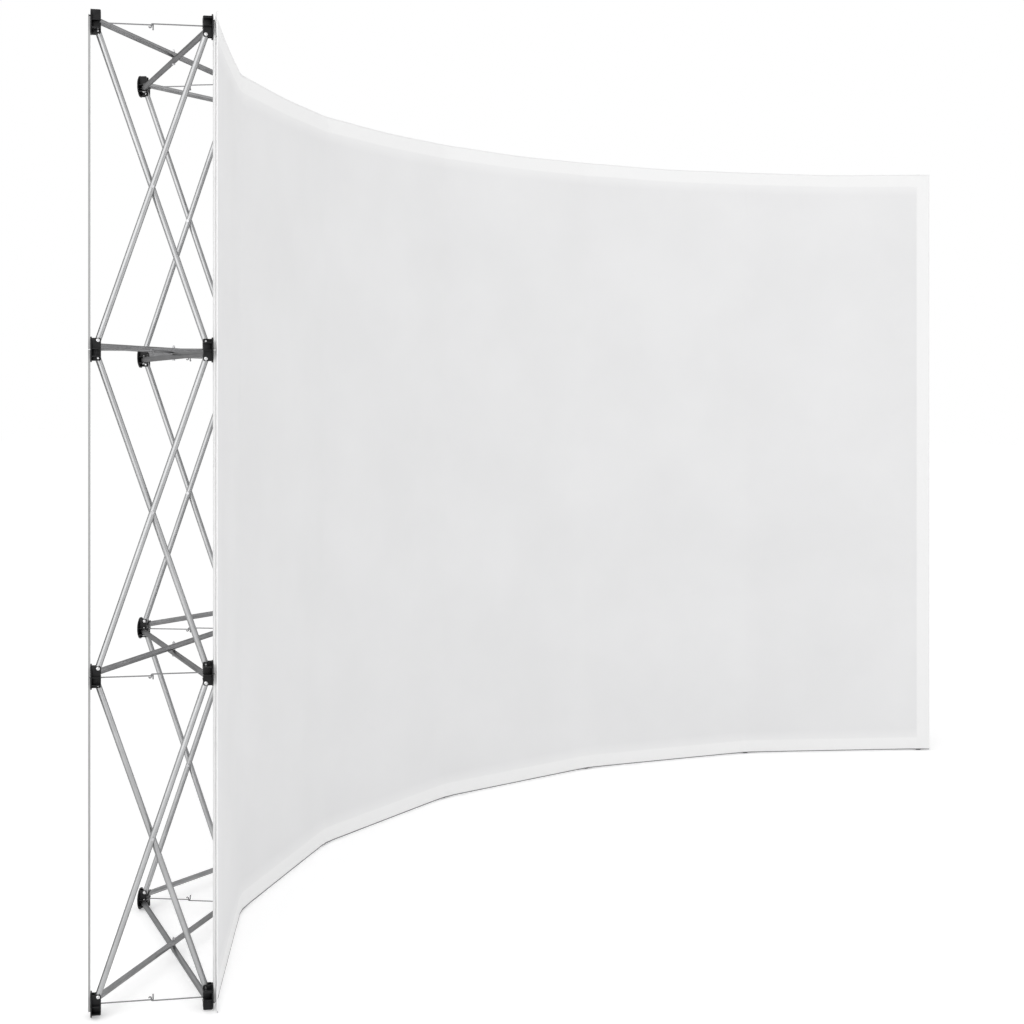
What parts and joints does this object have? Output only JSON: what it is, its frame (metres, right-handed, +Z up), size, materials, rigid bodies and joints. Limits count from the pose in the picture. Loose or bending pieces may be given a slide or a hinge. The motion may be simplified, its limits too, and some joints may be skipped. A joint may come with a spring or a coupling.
{
  "type": "pop up display backwall",
  "caption": "Free-standing curved display wall: a folding scissor frame of tubes and hubs with hook rods and channel bars, covered by a plain white stretch fabric.",
  "frame": {"origin": "on the floor, at the middle of the wall's outline seen from above", "axes": "+X to the right along the wall for a viewer who stands on the -Y side, +Y from the viewer through the fabric to the frame behind it, +Z up"},
  "size_m": [4.0896, 1.2088, 2.265],
  "materials": {
    "hub_plastic": "moulded black, satin",
    "upright_tube": "bright satin anodised",
    "level_tube": "satin anodised",
    "plug_plastic": "moulded",
    "rivet_metal": "polished",
    "bolt_metal": "zinc plated",
    "spacer_plastic": "natural nylon",
    "hook_wire": "bright drawn wire",
    "bar_plastic": "light grey extrusion",
    "stretch_fabric": "white warp knit with a faint sheen",
    "loop_tape": "white brushed loop"
  },
  "bodies": {
    "frame": {"front_hubs_column_0": "hub_plastic", "front_hubs_column_1": "hub_plastic", "front_hubs_column_2": "hub_plastic", "front_hubs_column_3": "hub_plastic", "front_hubs_column_4": "hub_plastic", "front_hubs_column_5": "hub_plastic", "front_hubs_column_6": "hub_plastic", "rear_hubs_column_0": "hub_plastic", "rear_hubs_column_1": "hub_plastic", "rear_hubs_column_2": "hub_plastic", "rear_hubs_column_3": "hub_plastic", "rear_hubs_column_4": "hub_plastic", "rear_hubs_column_5": "hub_plastic", "rear_hubs_column_6": "hub_plastic", "upright_tubes_column_0": "upright_tube", "upright_tubes_column_1": "upright_tube", "upright_tubes_column_2": "upright_tube", "upright_tubes_column_3": "upright_tube", "upright_tubes_column_4": "upright_tube", "upright_tubes_column_5": "upright_tube", "upright_tubes_column_6": "upright_tube", "level_tubes_bay_0": "level_tube", "level_tubes_bay_1": "level_tube", "level_tubes_bay_2": "level_tube", "level_tubes_bay_3": "level_tube", "level_tubes_bay_4": "level_tube", "level_tubes_bay_5": "level_tube", "tube_end_plugs": "plug_plastic", "hub_rivets": "rivet_metal", "pivot_bolts": "bolt_metal", "pivot_nuts": "bolt_metal", "pivot_spacers": "spacer_plastic", "hook_hinge_pins": "bolt_metal"},
    "front_hook_rods_0": {"front_hook_rods_column_0": "hook_wire"},
    "rear_hook_rods_0": {"rear_hook_rods_column_0": "hook_wire"},
    "front_hook_rods_1": {"front_hook_rods_column_1": "hook_wire"},
    "rear_hook_rods_1": {"rear_hook_rods_column_1": "hook_wire"},
    "front_hook_rods_2": {"front_hook_rods_column_2": "hook_wire"},
    "rear_hook_rods_2": {"rear_hook_rods_column_2": "hook_wire"},
    "front_hook_rods_3": {"front_hook_rods_column_3": "hook_wire"},
    "rear_hook_rods_3": {"rear_hook_rods_column_3": "hook_wire"},
    "front_hook_rods_4": {"front_hook_rods_column_4": "hook_wire"},
    "rear_hook_rods_4": {"rear_hook_rods_column_4": "hook_wire"},
    "front_hook_rods_5": {"front_hook_rods_column_5": "hook_wire"},
    "rear_hook_rods_5": {"rear_hook_rods_column_5": "hook_wire"},
    "front_hook_rods_6": {"front_hook_rods_column_6": "hook_wire"},
    "rear_hook_rods_6": {"rear_hook_rods_column_6": "hook_wire"},
    "front_bars_0": {"front_bars_column_0": "bar_plastic"},
    "front_bars_1": {"front_bars_column_1": "bar_plastic"},
    "front_bars_2": {"front_bars_column_2": "bar_plastic"},
    "front_bars_3": {"front_bars_column_3": "bar_plastic"},
    "front_bars_4": {"front_bars_column_4": "bar_plastic"},
    "front_bars_5": {"front_bars_column_5": "bar_plastic"},
    "front_bars_6": {"front_bars_column_6": "bar_plastic"},
    "rear_bars_left": {"rear_bars_left_end": "bar_plastic"},
    "rear_bars_right": {"rear_bars_right_end": "bar_plastic"},
    "fabric": {"fabric_skin": "stretch_fabric", "loop_tape": "loop_tape"}
  },
  "joints": [
    {"name": "front_hooks_0_swing", "type": "hinge", "parent": "frame", "child": "front_hook_rods_0", "pos_m": [-1.82629, -0.55436, 0.0285], "axis": [0, 0, -1], "range_deg": [0, 50]},
    {"name": "rear_hooks_0_swing", "type": "hinge", "parent": "frame", "child": "rear_hook_rods_0", "pos_m": [-2.01209, -0.41179, 0.0285], "axis": [0, 0, -1], "range_deg": [0, 50]},
    {"name": "front_hooks_1_swing", "type": "hinge", "parent": "frame", "child": "front_hook_rods_1", "pos_m": [-1.32037, -0.07005, 0.0285], "axis": [0, 0, -1], "range_deg": [0, 50]},
    {"name": "rear_hooks_1_swing", "type": "hinge", "parent": "frame", "child": "rear_hook_rods_1", "pos_m": [-1.4547, 0.1218, 0.0285], "axis": [0, 0, -1], "range_deg": [0, 50]},
    {"name": "front_hooks_2_swing", "type": "hinge", "parent": "frame", "child": "front_hook_rods_2", "pos_m": [-0.69222, 0.23972, 0.0285], "axis": [0, 0, -1], "range_deg": [0, 50]},
    {"name": "rear_hooks_2_swing", "type": "hinge", "parent": "frame", "child": "rear_hook_rods_2", "pos_m": [-0.76265, 0.46308, 0.0285], "axis": [0, 0, -1], "range_deg": [0, 50]},
    {"name": "front_hooks_3_swing", "type": "hinge", "parent": "frame", "child": "front_hook_rods_3", "pos_m": [0, 0.34626, 0.0285], "axis": [0, 0, -1], "range_deg": [0, 50]},
    {"name": "rear_hooks_3_swing", "type": "hinge", "parent": "frame", "child": "rear_hook_rods_3", "pos_m": [0, 0.58046, 0.0285], "axis": [0, 0, -1], "range_deg": [0, 50]},
    {"name": "front_hooks_4_swing", "type": "hinge", "parent": "frame", "child": "front_hook_rods_4", "pos_m": [0.69222, 0.23972, 0.0285], "axis": [0, 0, -1], "range_deg": [0, 50]},
    {"name": "rear_hooks_4_swing", "type": "hinge", "parent": "frame", "child": "rear_hook_rods_4", "pos_m": [0.76265, 0.46308, 0.0285], "axis": [0, 0, -1], "range_deg": [0, 50]},
    {"name": "front_hooks_5_swing", "type": "hinge", "parent": "frame", "child": "front_hook_rods_5", "pos_m": [1.32037, -0.07005, 0.0285], "axis": [0, 0, -1], "range_deg": [0, 50]},
    {"name": "rear_hooks_5_swing", "type": "hinge", "parent": "frame", "child": "rear_hook_rods_5", "pos_m": [1.4547, 0.1218, 0.0285], "axis": [0, 0, -1], "range_deg": [0, 50]},
    {"name": "front_hooks_6_swing", "type": "hinge", "parent": "frame", "child": "front_hook_rods_6", "pos_m": [1.82629, -0.55436, 0.0285], "axis": [0, 0, -1], "range_deg": [0, 50]},
    {"name": "rear_hooks_6_swing", "type": "hinge", "parent": "frame", "child": "rear_hook_rods_6", "pos_m": [2.01209, -0.41179, 0.0285], "axis": [0, 0, -1], "range_deg": [0, 50]},
    {"name": "front_bars_0_lift", "type": "slide", "parent": "frame", "child": "front_bars_0", "axis": [0, 0, 1], "range_m": [0, 0.012]},
    {"name": "front_bars_1_lift", "type": "slide", "parent": "frame", "child": "front_bars_1", "axis": [0, 0, 1], "range_m": [0, 0.012]},
    {"name": "front_bars_2_lift", "type": "slide", "parent": "frame", "child": "front_bars_2", "axis": [0, 0, 1], "range_m": [0, 0.012]},
    {"name": "front_bars_3_lift", "type": "slide", "parent": "frame", "child": "front_bars_3", "axis": [0, 0, 1], "range_m": [0, 0.012]},
    {"name": "front_bars_4_lift", "type": "slide", "parent": "frame", "child": "front_bars_4", "axis": [0, 0, 1], "range_m": [0, 0.012]},
    {"name": "front_bars_5_lift", "type": "slide", "parent": "frame", "child": "front_bars_5", "axis": [0, 0, 1], "range_m": [0, 0.012]},
    {"name": "front_bars_6_lift", "type": "slide", "parent": "frame", "child": "front_bars_6", "axis": [0, 0, 1], "range_m": [0, 0.012]},
    {"name": "rear_bars_left_lift", "type": "slide", "parent": "frame", "child": "rear_bars_left", "axis": [0, 0, 1], "range_m": [0, 0.012]},
    {"name": "rear_bars_right_lift", "type": "slide", "parent": "frame", "child": "rear_bars_right", "axis": [0, 0, 1], "range_m": [0, 0.012]},
    {"name": "fabric_pull_off", "type": "slide", "parent": "frame", "child": "fabric", "axis": [0, -1, 0], "range_m": [0, 0.25]}
  ]
}
